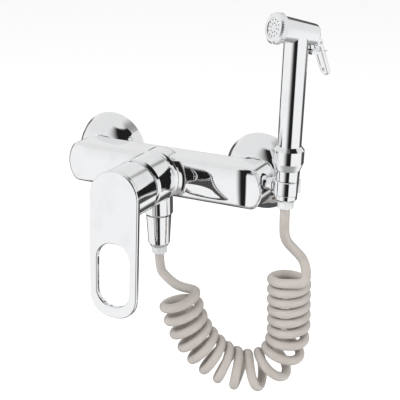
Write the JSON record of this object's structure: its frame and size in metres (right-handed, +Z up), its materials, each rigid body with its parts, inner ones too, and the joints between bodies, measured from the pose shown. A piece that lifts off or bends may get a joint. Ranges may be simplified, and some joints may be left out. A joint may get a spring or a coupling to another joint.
{
  "type": "wall mixer tap with hand spray",
  "caption": "Wall mixer with a flat looped lever over a round housing, and a slim hand spray with a thumb trigger, held at the end of its bar and fed by a spiral hose",
  "frame": {"origin": "on the wall plane, midway between the two wall studs", "axes": "+X to the right as seen from the room, +Y into the wall, +Z up; the room is towards -Y"},
  "size_m": [0.2503, 0.1417, 0.338],
  "materials": {
    "chrome": "polished",
    "brass": "machined, bare",
    "steel": "stainless",
    "rubber": "matte",
    "inner_plastic": "moulded",
    "ceramic": "lapped, white",
    "hose": "satin",
    "sleeve": "translucent"
  },
  "bodies": {
    "frame": {"mixer_body": "chrome", "wall_union_left": "brass", "wall_union_right": "brass", "escutcheon_left": "chrome", "escutcheon_right": "chrome", "inlet_nut_left": "chrome", "inlet_nut_right": "chrome", "inlet_washers": "rubber", "cartridge_seals": "rubber", "cartridge_base": "inner_plastic", "fixed_disc": "ceramic", "cartridge_shell": "inner_plastic", "cartridge_nut": "brass", "cartridge_dome": "chrome", "outlet_nipple": "brass", "hose_washer_lower": "rubber", "hose_sleeve_lower": "sleeve", "hose_nut_lower": "chrome", "spiral_hose": "hose", "holder_ball": "chrome", "holder_ring": "chrome", "holder_screw": "steel"},
    "turntable": {"rotor": "inner_plastic", "rotor_pin": "steel"},
    "disc_slider": {"moving_disc": "ceramic", "disc_carrier": "inner_plastic"},
    "lever": {"spindle": "steel", "lever_handle": "chrome", "lever_screw": "steel", "lever_plug": "chrome"},
    "sprayer": {"sprayer_body": "chrome", "face_gasket": "rubber", "spray_face": "chrome", "face_ring": "chrome", "trigger_pin": "steel", "valve_spring": "steel", "hose_nut_upper": "chrome", "hose_washer_upper": "rubber", "hose_sleeve_upper": "sleeve"},
    "trigger": {"trigger": "chrome"},
    "valve": {"valve_stem": "brass", "valve_seal": "rubber"}
  },
  "joints": [
    {"name": "lever_turn", "type": "hinge", "parent": "frame", "child": "turntable", "pos_m": [0, -0.0838, 0], "axis": [0, 1, 0], "range_deg": [-45, 45]},
    {"name": "lever_lift", "type": "hinge", "parent": "turntable", "child": "lever", "pos_m": [0, -0.09, 0], "axis": [-1, 0, 0], "range_deg": [0, 14]},
    {"name": "disc_slide", "type": "slide", "parent": "turntable", "child": "disc_slider", "axis": [0, 0, -1], "range_m": [0, 0.0055]},
    {"name": "sprayer_lift", "type": "slide", "parent": "frame", "child": "sprayer", "axis": [0.0393, 0, 0.9992], "range_m": [0, 0.06], "deforming": ["spiral_hose"]},
    {"name": "trigger_squeeze", "type": "hinge", "parent": "sprayer", "child": "trigger", "pos_m": [0.13226, -0.02855, 0.1227], "axis": [-0.8429, 0.537, 0.0331], "range_deg": [0, 14], "stiffness_Nm_per_rad": 0.3, "springref_deg": -5.73},
    {"name": "valve_slide", "type": "slide", "parent": "sprayer", "child": "valve", "axis": [0.0393, 0, 0.9992], "range_m": [0, 0.0014], "deforming": ["valve_spring"]}
  ],
  "couplings": [
    {"joint": "disc_slide", "follows": "lever_lift", "m_per_rad": 0.0198},
    {"joint": "valve_slide", "follows": "trigger_squeeze", "m_per_rad": 0.0053}
  ]
}
